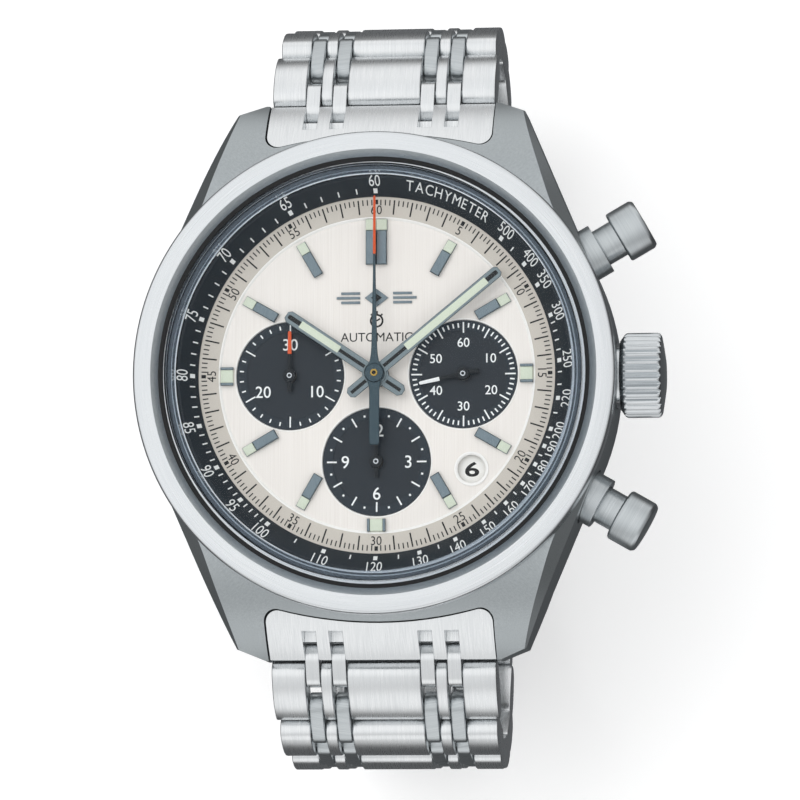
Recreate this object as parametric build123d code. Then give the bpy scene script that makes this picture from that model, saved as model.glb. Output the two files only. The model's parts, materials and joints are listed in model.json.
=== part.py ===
"""Chronograph wristwatch: case, dial, movement, hands, crown, pushers, five-piece steel bracelet and clasp.

Millimetres.  The dial faces +Z, 12 o'clock is +Y and the crown is +X.
Z = 0 is the outer face of the case back, on the axis of the hands.
"""
import os
from math import cos, radians, sin

from build123d import *

# ---------------------------------------------------------------- driving dimensions
CASE_R = 20.95           # middle case, round part
CASE_TOP = 9.6           # seam between case and bezel
CASE_BOTTOM = 1.4        # seam between case and case back
BORE_R = 17.45
LUG_GAP = 20.1           # between the lugs
LUG_OUT = (12.7, 23.6)   # outer corner of a lug tip
LUG_IN = (10.35, 24.55)  # inner corner of a lug tip
LUG_ROOT = (19.05, 8.64)  # where a lug leaves the round case
LUG_ARC = ((14.0, 9.6), (20.6, 7.35), (25.0, 2.9))  # top of a lug in side view
FACET = ((8.64, 0.0), (10.6, 0.6), (13.6, 1.1), (17.0, 0.95), (20.4, 0.6), (23.6, 0.15), (25.2, 0.1))
BEZEL_R = 21.0
CRYSTAL_R = 18.4
DIAL_TOP = 8.4
SUB_OFFSET = 7.58        # counters from the centre
SUB_R = 4.75
DATE_ANGLE = -45.0       # half past four
DATE_R = 11.7
CROWN_Z = 5.5
CROWN_R = 3.7
CROWN_X = (21.1, 25.05)
CROWN_FLUTES = 30
PUSHER_ANGLE = 30.0
TIME_HOUR = 304.0        # hands at rest, clockwise from twelve
TIME_MINUTE = 50.6
TIME_SECOND = 258.0
BALANCE = (-6.6, -7.0)   # axis of the balance wheel
POSTS = ((11.6, 4.0), (4.0, 11.6), (-7.0, 10.4), (-12.3, 1.5), (11.0, -6.5), (2.5, -12.0))

PITCH = 6.2              # bracelet, pin to pin
ROW_R = 1.25             # rounded ends of the bracelet pieces
ROW_CORE = 3.52          # first pin to second pin of one row
ROW_TILT = (40.0, 74.0, 90.0, 100.52, 121.97, 148.07, 169.52)
ROW_WIDTH = (19.8, 19.3, 18.8, 18.3, 17.8, 17.3, 16.8)
FIRST_PIN = (25.6, 1.7)
SPRING_BAR = (22.2, 2.7)
PIN_R = 0.5
RUN = 0.06               # running clearance of a pin in a connector
CONNECTOR_X = (3.9, 6.25)
CONNECTOR_W = 1.2
SLOT_W = 1.35

CLASP_SAG = 1.5
CLASP_END = 16.28
CLASP_Z = -30.21
FOLD_1 = (-14.5, -30.3)  # cover to middle blade
FOLD_2 = (12.9, -30.1)  # middle blade to inner blade
BLADE_X = 6.6
COVER_X = 8.2

BOTTOM = (Align.CENTER, Align.CENTER, Align.MIN)
NODES = {}


# ---------------------------------------------------------------- helpers
def node(name, *pieces):
    """Keep one named subcomponent, as one solid or a group of solids."""
    solids = []
    for piece in pieces:
        solids.extend(piece.solids())
    NODES[name] = solids[0] if len(solids) == 1 else Compound(solids)


def spin(points):
    """Turn an (r, z) outline about the hand axis."""
    return revolve(Plane.XZ * make_face(Polyline(*points, close=True)), Axis.Z, 360)


def disc(radius, z0, z1, x=0.0, y=0.0):
    return Pos(x, y, z0) * Cylinder(radius, z1 - z0, align=BOTTOM)


def tube(outer, inner, z0, z1, x=0.0, y=0.0):
    return disc(outer, z0, z1, x, y) - disc(inner, z0 - 1, z1 + 1, x, y)


def rod_x(radius, x0, x1, y=0.0, z=CROWN_Z):
    return Pos(x0, y, z) * Rot(0, 90, 0) * Cylinder(radius, x1 - x0, align=BOTTOM)


def block(x0, x1, y0, y1, z0, z1):
    return Pos((x0 + x1) / 2, (y0 + y1) / 2, (z0 + z1) / 2) * Box(x1 - x0, y1 - y0, z1 - z0)


def side_slab(face, x0, x1):
    """Extrude a (y, z) face along X."""
    return Pos(x0, 0, 0) * extrude(Plane.YZ * face, x1 - x0)


def flip(shape):
    """The six o'clock twin of a twelve o'clock piece."""
    return mirror(shape, about=Plane.XZ)


def dome_arc(edge, top):
    """Arc in (r, z) from an edge point to the crown of a dome on the axis."""
    radius, height = edge
    rise = top - height
    sphere = (radius ** 2 + rise ** 2) / (2 * rise)
    middle = radius / 2
    return ThreePointArc(edge, (middle, top - sphere + (sphere ** 2 - middle ** 2) ** 0.5), (0, top))


def clock(angle):
    """Turn a piece drawn at twelve o'clock clockwise to its place."""
    return Rot(0, 0, -angle)


# ---------------------------------------------------------------- middle case
def case_outline():
    right = [LUG_ROOT, LUG_OUT, LUG_IN]
    top = right + [(-x, y) for x, y in reversed(right)]
    bottom = [(-x, -y) for x, y in top]
    return Circle(CASE_R) + make_face(Polyline(*top, *bottom, close=True))


def case_side():
    """Side view: flat under the bezel, lugs curving down to their tips."""
    return make_face([
        Line((-14.0, CASE_TOP), (14.0, CASE_TOP)),
        ThreePointArc(*LUG_ARC),
        Line((25.0, 2.9), (25.1, 1.5)),
        ThreePointArc((25.1, 1.5), (24.8, 0.85), (24.1, 0.6)),
        Line((24.1, 0.6), (20.0, 0.7)),
        Line((20.0, 0.7), (18.6, CASE_BOTTOM)),
        Line((18.6, CASE_BOTTOM), (-18.6, CASE_BOTTOM)),
        Line((-18.6, CASE_BOTTOM), (-20.0, 0.7)),
        Line((-20.0, 0.7), (-24.1, 0.6)),
        ThreePointArc((-24.1, 0.6), (-24.8, 0.85), (-25.1, 1.5)),
        Line((-25.1, 1.5), (-25.0, 2.9)),
        ThreePointArc(*[(-y, z) for y, z in reversed(LUG_ARC)]),
    ])


def lug_top(y):
    """Height of the top of a lug at y."""
    if y <= LUG_ARC[0][0]:
        return CASE_TOP
    arc = ThreePointArc(*LUG_ARC)
    centre, radius = arc.arc_center, arc.radius
    return centre.Y + (radius ** 2 - (y - centre.X) ** 2) ** 0.5


def lug_facet():
    """Cutter for the slanted facet along the outer top edge of one lug."""
    slope = (LUG_OUT[0] - LUG_ROOT[0]) / (LUG_OUT[1] - LUG_ROOT[1])
    points = []
    for y, width in FACET:
        flank = LUG_ROOT[0] + slope * (y - LUG_ROOT[1])
        points.append((y, lug_top(min(y, 25.0)) + flank - width))
    face = make_face([
        Spline(*points),
        Line(points[-1], (points[-1][0], 45.0)),
        Line((points[-1][0], 45.0), (points[0][0], 45.0)),
        Line((points[0][0], 45.0), points[0]),
    ])
    return extrude(Plane.YZ * face, 44.0, dir=(1, 0, -1))


def lug_recess(gap):
    """Plan of the space for an end piece: a flat arc with rounded corners."""
    edge = LUG_GAP / 2 - gap
    low = 19.9 + gap
    face = make_face([
        ThreePointArc((-edge, low), (0, 21.35 + gap), (edge, low)),
        Line((edge, low), (edge, 30.0)),
        Line((edge, 30.0), (-edge, 30.0)),
        Line((-edge, 30.0), (-edge, low)),
    ])
    return fillet(face.vertices().sort_by(Axis.Y)[:2], 1.1)


def build_case():
    body = extrude(case_outline(), 12.0) & extrude(Plane.YZ * case_side(), 30.0, both=True)
    recess = extrude(lug_recess(0.0), 14.0)
    body -= recess
    body -= flip(recess)
    for upper in (lug_facet(), mirror(lug_facet(), about=Plane.YZ)):
        body -= upper
        body -= flip(upper)
    body -= disc(BORE_R, -1, 12)
    body -= tube(18.2, 17.7, CASE_BOTTOM - 1, CASE_BOTTOM + 0.4)
    body -= rod_x(1.85, 15, 23)
    body -= rod_x(2.9, 20.4, 23)
    for angle in (PUSHER_ANGLE, -PUSHER_ANGLE):
        body -= Rot(0, 0, angle) * (rod_x(2.1, 15, 23) + rod_x(2.5, 20.6, 25))
    for y in (SPRING_BAR[0], -SPRING_BAR[0]):
        body -= rod_x(0.5, -11.3, 11.3, y, SPRING_BAR[1])
    node("case_body", body)


def build_case_fittings():
    node("bezel", spin([
        (17.5, CASE_TOP), (BEZEL_R, CASE_TOP), (BEZEL_R, 11.1), (20.85, 11.45), (19.35, 11.75),
        (18.9, 11.3), (18.9, 10.8), (17.5, 10.8),
    ]))
    glass = make_face([
        Line((0, 11.5), (17.0, 11.5)),
        Line((17.0, 11.5), (17.0, 10.8)),
        Line((17.0, 10.8), (CRYSTAL_R, 10.8)),
        Line((CRYSTAL_R, 10.8), (CRYSTAL_R, 12.1)),
        Line((CRYSTAL_R, 12.1), (17.5, 12.75)),
        dome_arc((17.5, 12.75), 13.55),
        Line((0, 13.55), (0, 11.5)),
    ])
    node("crystal", revolve(Plane.XZ * glass, Axis.Z, 360))
    node("crystal_gasket", tube(18.9, CRYSTAL_R, 10.8, 11.3))
    node("tachymeter_ring", spin([
        (15.62, DIAL_TOP), (17.4, DIAL_TOP), (17.4, 10.4), (17.0, 10.4), (15.62, 8.85),
    ]))
    node("movement_holder", tube(17.4, 14.0, 3.0, 8.0) - rod_x(0.75, 10, 20))
    back = spin([
        (13.2, 0), (18.0, 0), (18.4, 0.4), (18.4, CASE_BOTTOM), (17.4, CASE_BOTTOM), (17.4, 3.0),
        (15.6, 3.0), (15.6, 1.5), (13.95, 1.5), (13.95, 0.5), (13.2, 0.5),
    ])
    for index in range(6):
        back -= Rot(0, 0, 60 * index + 30) * block(16.4, 19.0, -1.1, 1.1, -1.0, 0.6)
    node("case_back_ring", back)
    node("back_crystal", disc(13.93, 0.5, 1.5) + disc(13.15, 0, 0.5))
    node("back_gasket", tube(18.2, 17.7, CASE_BOTTOM, CASE_BOTTOM + 0.4))
    tube_body = rod_x(1.83, 17.5, 20.4) + rod_x(2.85, 20.4, 22.9)
    node("crown_tube", tube_body - rod_x(1.26, 17, 24))
    pair = []
    for angle in (PUSHER_ANGLE, -PUSHER_ANGLE):
        sleeve = rod_x(2.1, 17.5, 20.6) + rod_x(2.3, 20.6, 22.4)
        sleeve -= rod_x(1.75, 18.4, 23)
        sleeve -= rod_x(0.98, 17, 19)
        pair.append(Rot(0, 0, angle) * sleeve)
    node("pusher_tubes", *pair)


# ---------------------------------------------------------------- dial
def build_dial():
    plate = disc(17.4, 8.0, DIAL_TOP) - disc(1.1, 7, 9)
    for x, y in ((SUB_OFFSET, 0), (-SUB_OFFSET, 0), (0, -SUB_OFFSET)):
        plate -= disc(SUB_R, DIAL_TOP - 0.1, 9, x, y)
        plate -= disc(3.8, DIAL_TOP - 0.16, 9, x, y)
        plate -= disc(0.55, 7, 9, x, y)
    window = (DATE_R * cos(radians(DATE_ANGLE)), DATE_R * sin(radians(DATE_ANGLE)))
    plate -= disc(1.25, 7, 9, *window)
    node("dial_plate", plate)
    node("date_frame", tube(1.45, 1.25, DIAL_TOP, DIAL_TOP + 0.15, *window))
    node("minute_track_ring", spin([
        (13.7, DIAL_TOP), (15.62, DIAL_TOP), (15.62, DIAL_TOP + 0.3), (13.85, DIAL_TOP + 0.14),
    ]))
    steel = []
    lume = []
    for hour in (1, 2, 4, 5, 7, 8, 10, 11):
        steel.append(clock(30 * hour) * block(-0.43, 0.43, 10.1, 12.3, DIAL_TOP, DIAL_TOP + 0.4))
        lume.append(clock(30 * hour) * block(-0.4, 0.4, 12.3, 13.3, DIAL_TOP, DIAL_TOP + 0.3))
    for side in (-1, 1):
        shift = Pos(0.51 * side, 0, 0)
        steel.append(shift * block(-0.44, 0.44, 9.65, 12.65, DIAL_TOP, DIAL_TOP + 0.45))
        lume.append(shift * block(-0.42, 0.42, 12.65, 13.65, DIAL_TOP, DIAL_TOP + 0.35))
    for hour in (3, 6, 9):
        for side in (-1, 1):
            bar = Pos(0.63 * side, 0, 0) * block(-0.2, 0.2, 12.5, 13.65, DIAL_TOP, DIAL_TOP + 0.4)
            steel.append(clock(30 * hour) * bar)
        lume.append(clock(30 * hour) * block(-0.43, 0.43, 12.5, 13.65, DIAL_TOP, DIAL_TOP + 0.3))
    node("hour_markers", *steel)
    node("marker_lume", *lume)


# ---------------------------------------------------------------- movement
def build_movement():
    plate = disc(13.98, 5.6, 7.5) + disc(9.9, 7.5, 7.9)
    plate -= disc(1.05, 5, 9)
    for x, y in ((SUB_OFFSET, 0), (-SUB_OFFSET, 0), (0, -SUB_OFFSET)):
        plate -= disc(0.55, 6.6, 9, x, y)
    plate -= rod_x(0.75, 12.4, 15)
    node("main_plate", plate)
    node("date_disc", tube(13.3, 10.0, 7.6, 7.8))

    deck = disc(13.9, 3.3, 4.3)
    deck -= disc(4.3, 3, 5, *BALANCE)
    deck -= Rot(0, 0, 28) * block(-15, 15, -0.15, 0.15, 3, 4.6) - disc(2.6, 3, 5)
    deck -= Rot(0, 0, -62) * block(0, 15, -0.15, 0.15, 3, 4.6) - disc(2.6, 3, 5)
    cock = disc(1.1, 3.3, 4.3, *BALANCE)
    cock += Pos(*BALANCE) * Rot(0, 0, 225) * block(0, 4.6, -1.0, 1.0, 3.3, 4.3)
    cock -= disc(0.3, 4.0, 5, *BALANCE)
    deck += cock & disc(13.9, 3, 5)
    posts = [disc(0.7, 4.3, 5.6, *spot) for spot in POSTS]
    node("bridges", deck, *posts)
    screws = []
    for x, y in POSTS:
        screw = disc(0.75, 3.05, 3.3, x, y)
        screw -= Pos(x, y) * block(-1, 1, -0.1, 0.1, 2.9, 3.15)
        screws.append(screw)
    node("bridge_screws", *screws)
    node("rotor_bearing", disc(2.0, 1.95, 3.3) + disc(1.2, 1.8, 1.95))

    wheel = tube(3.8, 3.3, 4.6, 5.0)
    for angle in (0, 60, 120):
        wheel += Rot(0, 0, angle) * block(-3.4, 3.4, -0.2, 0.2, 4.7, 4.9)
    wheel += disc(0.25, 4.1, 5.55)
    node("balance_wheel", Pos(*BALANCE) * wheel)

    weight = tube(13.4, 10.9, 1.95, 3.05) + tube(13.4, 2.05, 2.1, 2.5)
    weight -= block(-15, 15, 3.2, 15, 1, 4)
    for side in (-1, 1):
        cut = Pos(14.2 * side, 6.5, 1) * Cylinder(10.2, 4, align=BOTTOM)
        weight -= cut
    for angle in (-60, -90, -120):
        weight -= Rot(0, 0, angle) * Pos(7.2, 0, 1) * Cylinder(1.3, 4, align=BOTTOM)
    node("rotor", weight)


# ---------------------------------------------------------------- hands
def baton(length, tail, width, z, thick):
    """A straight hand with a pointed tip and a squared tail, drawn at twelve."""
    half = width / 2
    face = make_face(Polyline(
        (-half, -tail), (half, -tail), (half, length - 0.5), (0.12, length), (-0.12, length),
        (-half, length - 0.5), close=True))
    return Pos(0, 0, z) * extrude(face, thick)


def build_hands():
    hour = baton(9.4, 3.0, 1.1, 9.25, 0.18) + disc(1.15, 9.25, 9.43)
    hour += disc(1.0, 7.6, 9.3)
    node("hour_hand", clock(TIME_HOUR) * (hour - disc(0.75, 7, 10)))
    minute = baton(14.05, 3.0, 1.05, 9.65, 0.18) + disc(1.0, 9.65, 9.83)
    minute += disc(0.7, 7.0, 9.7)
    node("minute_hand", clock(TIME_MINUTE) * (minute - disc(0.45, 6, 11)))

    needle = make_face(Polyline((-0.17, 0), (0.17, 0), (0.1, 15.45), (-0.1, 15.45), close=True))
    sweep_hand = Pos(0, 0, 10.1) * extrude(needle, 0.14)
    sweep_hand += block(-0.28, 0.28, -3.0, 0, 10.1, 10.24)
    sweep_hand += block(-0.48, 0.48, -6.3, -2.6, 10.1, 10.24)
    sweep_hand += disc(0.9, 10.05, 10.75) + disc(0.4, 6.4, 11.0)
    node("chrono_seconds_hand", sweep_hand)

    small = make_face(Polyline((-0.2, -1.4), (0.2, -1.4), (0.13, 3.9), (-0.13, 3.9), close=True))
    places = (
        ("small_seconds_hand", SUB_OFFSET, 0, TIME_SECOND),
        ("minute_counter_hand", -SUB_OFFSET, 0, 0.0),
        ("hour_counter_hand", 0, -SUB_OFFSET, 0.0),
    )
    for name, x, y, angle in places:
        hand = Pos(0, 0, 8.75) * extrude(small, 0.14)
        hand += disc(0.6, 8.7, 9.02) + disc(0.5, 7.0, 8.8)
        node(name, Pos(x, y, 0) * clock(angle) * hand)


# ---------------------------------------------------------------- crown and pushers
def build_controls():
    start, end = CROWN_X
    profile = make_face([
        Line((start, 0), (start, 3.1)),
        Line((start, 3.1), (start + 0.4, CROWN_R)),
        Line((start + 0.4, CROWN_R), (end - 0.6, CROWN_R)),
        ThreePointArc((end - 0.6, CROWN_R), (end - 0.33, 3.55), (end - 0.25, 3.2)),
        Line((end - 0.25, 3.2), (end, 2.0)),
        Line((end, 2.0), (end, 0)),
        Line((end, 0), (start, 0)),
    ])
    crown = Pos(0, 0, CROWN_Z) * revolve(Plane.XY * profile, Axis.X, 360)
    for index in range(CROWN_FLUTES):
        angle = radians(360 * index / CROWN_FLUTES)
        crown -= rod_x(0.24, 21, end - 0.55, 3.76 * cos(angle), CROWN_Z + 3.76 * sin(angle))
    crown -= rod_x(2.95, 21, 23.1)
    crown += rod_x(1.22, 20.9, 23.2)
    crown += rod_x(1.0, 20.2, 21.0)
    crown += rod_x(1.22, 18.6, 20.24)
    node("crown", crown)
    node("winding_stem", rod_x(0.6, 13.2, 18.6))
    node("crown_gasket", rod_x(1.24, 20.27, 20.87) - rod_x(1.02, 20, 21))
    for name, angle in (("pusher_upper", PUSHER_ANGLE), ("pusher_lower", -PUSHER_ANGLE)):
        head = rod_x(2.35, 24.2, 26.85)
        head = chamfer(head.edges().sort_by(Axis.X)[-1], 0.25)
        stem = rod_x(1.7, 19.6, 24.2) + rod_x(0.9, 18.5, 19.6)
        node(name, Rot(0, 0, angle) * (head + stem))


# ---------------------------------------------------------------- bracelet
def row_plane(pin, tilt):
    along = (0, cos(radians(tilt)), -sin(radians(tilt)))
    return Plane(origin=(0, pin[0], pin[1]), x_dir=along, z_dir=(1, 0, 0))


def columns(width):
    """X spans of the five brushed pieces of a row."""
    inner, outer = CONNECTOR_X
    half = SLOT_W / 2
    right = [(inner + half, outer - half), (outer + half, width / 2)]
    left = [(-b, -a) for a, b in right]
    return left + [(-inner + half, inner - half)] + right


def link_profile():
    body = Pos(ROW_CORE / 2, 0) * SlotCenterToCenter(ROW_CORE, 2 * ROW_R)
    crest = make_face([
        ThreePointArc((-0.85, 0.9), (ROW_CORE / 2, 1.55), (ROW_CORE + 0.85, 0.9)),
        Line((ROW_CORE + 0.85, 0.9), (-0.85, 0.9)),
    ])
    return body + crest - Circle(PIN_R) - Pos(ROW_CORE, 0) * Circle(PIN_R)


def connector_profile():
    reach = PITCH - ROW_CORE
    body = Pos(ROW_CORE + reach / 2, 0) * SlotCenterToCenter(reach, 2.4)
    return body - Pos(ROW_CORE, 0) * Circle(PIN_R) - Pos(PITCH, 0) * Circle(PIN_R + RUN)


def connectors(face, spots):
    return [Pos(x - CONNECTOR_W / 2, 0, 0) * extrude(face, CONNECTOR_W) for x in spots]


def bracelet_row(pin, tilt, width, spots):
    plane = row_plane(pin, tilt)
    face = plane * link_profile()
    pieces = [Pos(a, 0, 0) * extrude(face, b - a) for a, b in columns(width)]
    pieces += connectors(plane * connector_profile(), spots)
    for reach in (0.0, ROW_CORE):
        shaft = extrude(plane * (Pos(reach, 0) * Circle(PIN_R)), width)
        pieces.append(Pos(-width / 2, 0, 0) * shaft)
    return pieces


def build_bracelet():
    every = [side * x for x in CONNECTOR_X for side in (-1, 1)]
    fork = [-CONNECTOR_X[1], CONNECTOR_X[1]]
    pin = FIRST_PIN
    for index, (tilt, width) in enumerate(zip(ROW_TILT, ROW_WIDTH), start=1):
        pieces = bracelet_row(pin, tilt, width, every)
        node(f"link_12_{index}", *pieces)
        if index == len(ROW_TILT):
            pieces = bracelet_row(pin, tilt, width, fork)
        node(f"link_6_{index}", *[flip(piece) for piece in pieces])
        pin = (pin[0] + PITCH * cos(radians(tilt)), pin[1] - PITCH * sin(radians(tilt)))


def build_end_links():
    side = make_face([
        ThreePointArc((17.0, 9.0), (20.8, 6.95), (24.5, 3.35)),
        Line((24.5, 3.35), (24.5, 1.0)),
        Line((24.5, 1.0), (19.3, 1.0)),
        Line((19.3, 1.0), (17.0, 9.0)),
    ])
    side -= Pos(*FIRST_PIN) * Circle(ROW_R + 0.18)
    body = extrude(lug_recess(0.1), 14.0) & side_slab(side, -12, 12)
    body -= rod_x(0.7, -12, 12, *SPRING_BAR)
    root = (24.2, 2.3)
    arm = make_hull([Pos(*root) * Circle(1.2).edge(), Pos(*FIRST_PIN) * Circle(1.2).edge()])
    arm -= Pos(*FIRST_PIN) * Circle(PIN_R + RUN)
    arms = []
    for x in [side_x * c for c in CONNECTOR_X for side_x in (-1, 1)]:
        body -= block(x - CONNECTOR_W / 2, x + CONNECTOR_W / 2, 22.95, 30, -2, 12)
        body -= block(x - CONNECTOR_W / 2, x + CONNECTOR_W / 2, 22.1, 23, 3.9, 12)
        arms.append(side_slab(arm, x - CONNECTOR_W / 2, x + CONNECTOR_W / 2))
    node("end_link_12", body, *arms)
    node("end_link_6", *[flip(piece) for piece in [body] + arms])
    bars = []
    for y in (SPRING_BAR[0], -SPRING_BAR[0]):
        bars.append(rod_x(0.7, -9.9, 9.9, y, SPRING_BAR[1]) + rod_x(0.45, -11.2, 11.2, y, SPRING_BAR[1]))
    node("spring_bars", *bars)


# ---------------------------------------------------------------- clasp
def bow(y, level):
    """Height of a clasp layer at y; level is its height at the two ends."""
    return level - CLASP_SAG * (1 - (y / 16.3) ** 2)


def bowed_plate(y0, y1, low, high, half_width):
    """A gently bowed plate between two layers."""
    mid = (y0 + y1) / 2
    face = make_face([
        ThreePointArc((y0, bow(y0, low)), (mid, bow(mid, low)), (y1, bow(y1, low))),
        Line((y1, bow(y1, low)), (y1, bow(y1, high))),
        ThreePointArc((y1, bow(y1, high)), (mid, bow(mid, high)), (y0, bow(y0, high))),
        Line((y0, bow(y0, high)), (y0, bow(y0, low))),
    ])
    return side_slab(face, -half_width, half_width)


def build_clasp():
    cover = bowed_plate(-15.2, 14.9, -31.5, -29.1, COVER_X)
    cover -= bowed_plate(-16.0, 15.5, -30.5, -28.0, COVER_X - 0.6)
    root = (15.2, -30.3)
    end = make_hull([
        Pos(*root) * Circle(ROW_R).edge(), Pos(CLASP_END, CLASP_Z) * Circle(ROW_R).edge()])
    end -= Pos(CLASP_END, CLASP_Z) * Circle(PIN_R)
    for a, b in columns(2 * COVER_X):
        cover += side_slab(end, a, b)
    for x in [side * c for c in CONNECTOR_X for side in (-1, 1)]:
        cover -= block(x - SLOT_W / 2, x + SLOT_W / 2, 14.98, 20, -34, -27)
    cover -= rod_x(0.28, -9, 9, *FOLD_1)
    for side in (-1, 1):
        cover -= block(side * 7.9 - 1, side * 7.9 + 1, 6.15, 9.85, -31.45, -30.35)
    hinge_pin = rod_x(PIN_R, -COVER_X, COVER_X, CLASP_END, CLASP_Z)
    node("clasp_cover", cover, hinge_pin, rod_x(0.28, -COVER_X, COVER_X, *FOLD_1))

    middle = bowed_plate(FOLD_1[0], FOLD_2[0], -30.4, -29.6, BLADE_X)
    for side in (-1, 1):
        middle -= block(side * 5.05 - 2, side * 5.05 + 2, FOLD_2[0] - 0.95, 16, -33, -27)
    middle += rod_x(0.5, -BLADE_X, BLADE_X, *FOLD_1)
    middle += rod_x(0.75, -2.95, 2.95, *FOLD_2)
    middle -= rod_x(0.33, -9, 9, *FOLD_1)
    middle -= rod_x(0.4, -9, 9, *FOLD_2)
    middle -= Pos(0, 0, -33) * extrude(SlotCenterToCenter(15, 5).rotate(Axis.Z, 90), 6)
    node("clasp_middle_blade", middle)

    inner = bowed_plate(-CLASP_END - 0.4, FOLD_2[0], -29.35, -28.55, BLADE_X)
    for side in (-1, 1):
        inner -= block(side * 7.4 - 2, side * 7.4 + 2, -20, -13.0, -33, -27)
    inner -= block(-3.05, 3.05, FOLD_2[0] - 0.95, 16, -33, -27)
    inner += rod_x(0.85, -5.4, 5.4, -CLASP_END, CLASP_Z)
    inner += block(-5.4, 5.4, -CLASP_END - 0.6, -15.65, -29.95, -28.8)
    for side in (-1, 1):
        x0, x1 = sorted((3.05 * side, BLADE_X * side))
        inner += rod_x(0.75, x0, x1, *FOLD_2)
    inner -= rod_x(0.35, -9, 9, *FOLD_2)
    node("clasp_inner_blade", inner, rod_x(0.35, -BLADE_X, BLADE_X, *FOLD_2))

    for name, side in (("clasp_button_left", -1), ("clasp_button_right", 1)):
        x0, x1 = sorted((7.3 * side, 8.75 * side))
        node(name, block(x0, x1, 6.2, 9.8, -31.4, -30.4))


build_case()
build_case_fittings()
build_dial()
build_movement()
build_hands()
build_controls()
build_end_links()
build_bracelet()
build_clasp()

os.makedirs("parts", exist_ok=True)
for name, shape in NODES.items():
    export_step(shape, f"parts/{name}.step")
    print(name, len(shape.solids()), round(shape.volume, 2))
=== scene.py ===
"""Looks of the chronograph wristwatch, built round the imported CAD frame. Lengths are in millimetres."""
import json
from math import atan2, cos, degrees, hypot, pi, radians, sin, sqrt, tan

import bmesh
import bpy
from mathutils import Matrix, Vector


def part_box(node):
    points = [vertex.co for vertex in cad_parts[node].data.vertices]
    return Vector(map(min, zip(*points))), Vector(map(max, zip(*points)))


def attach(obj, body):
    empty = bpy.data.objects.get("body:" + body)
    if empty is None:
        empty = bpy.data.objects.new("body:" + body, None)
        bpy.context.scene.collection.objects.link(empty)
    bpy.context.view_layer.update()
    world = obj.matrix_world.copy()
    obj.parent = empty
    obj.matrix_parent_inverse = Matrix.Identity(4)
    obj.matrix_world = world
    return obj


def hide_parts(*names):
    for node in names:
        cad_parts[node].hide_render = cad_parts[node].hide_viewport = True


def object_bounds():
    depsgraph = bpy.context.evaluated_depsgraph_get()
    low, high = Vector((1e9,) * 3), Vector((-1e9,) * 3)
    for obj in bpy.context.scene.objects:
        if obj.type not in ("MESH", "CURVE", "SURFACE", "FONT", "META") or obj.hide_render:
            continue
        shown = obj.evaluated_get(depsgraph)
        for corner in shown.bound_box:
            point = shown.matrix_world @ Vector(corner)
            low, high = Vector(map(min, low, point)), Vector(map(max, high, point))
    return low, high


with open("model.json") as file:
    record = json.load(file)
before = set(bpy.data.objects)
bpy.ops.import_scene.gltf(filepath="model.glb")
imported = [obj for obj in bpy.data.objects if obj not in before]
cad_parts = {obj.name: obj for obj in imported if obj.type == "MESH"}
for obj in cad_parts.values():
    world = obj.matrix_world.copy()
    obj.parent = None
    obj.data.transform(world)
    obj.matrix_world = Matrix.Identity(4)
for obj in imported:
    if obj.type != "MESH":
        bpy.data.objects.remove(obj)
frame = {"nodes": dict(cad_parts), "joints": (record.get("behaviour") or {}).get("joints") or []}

CAD_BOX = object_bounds()
MM = 0.001
SCENE = bpy.context.scene
JOINTS = {joint["name"]: joint for joint in frame["joints"]}


# ---------------------------------------------------------------- places read from the frame
def box(name):
    """Lowest and highest corner of a CAD node, in millimetres."""
    low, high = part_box(name)
    return low / MM, high / MM


def joint_at(name):
    return Vector(JOINTS[name]["pos_m"]) / MM


def pointing(name, centre):
    """Clockwise angle from twelve of the far tip of a CAD hand."""
    spots = [v.co / MM - centre for v in frame["nodes"][name].data.vertices]
    reach = max(hypot(p.x, p.y) for p in spots)
    tip = [p for p in spots if hypot(p.x, p.y) > reach - 0.01]
    return degrees(atan2(sum(p.x for p in tip), sum(p.y for p in tip)))


# ---------------------------------------------------------------- node materials
def linear(code):
    """Scene-linear colour of a hex code."""
    out = []
    for start in (1, 3, 5):
        level = int(code[start:start + 2], 16) / 255
        out.append(level / 12.92 if level <= 0.04045 else ((level + 0.055) / 1.055) ** 2.4)
    return (*out, 1.0)


def add_node(tree, kind, inputs=None, **settings):
    """A node with its settings; inputs are links or constants by socket name or number."""
    made = tree.nodes.new(kind)
    for key, value in settings.items():
        setattr(made, key, value)
    for key, value in (inputs or {}).items():
        if isinstance(value, bpy.types.NodeSocket):
            tree.links.new(value, made.inputs[key])
        else:
            made.inputs[key].default_value = value
    return made


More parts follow.
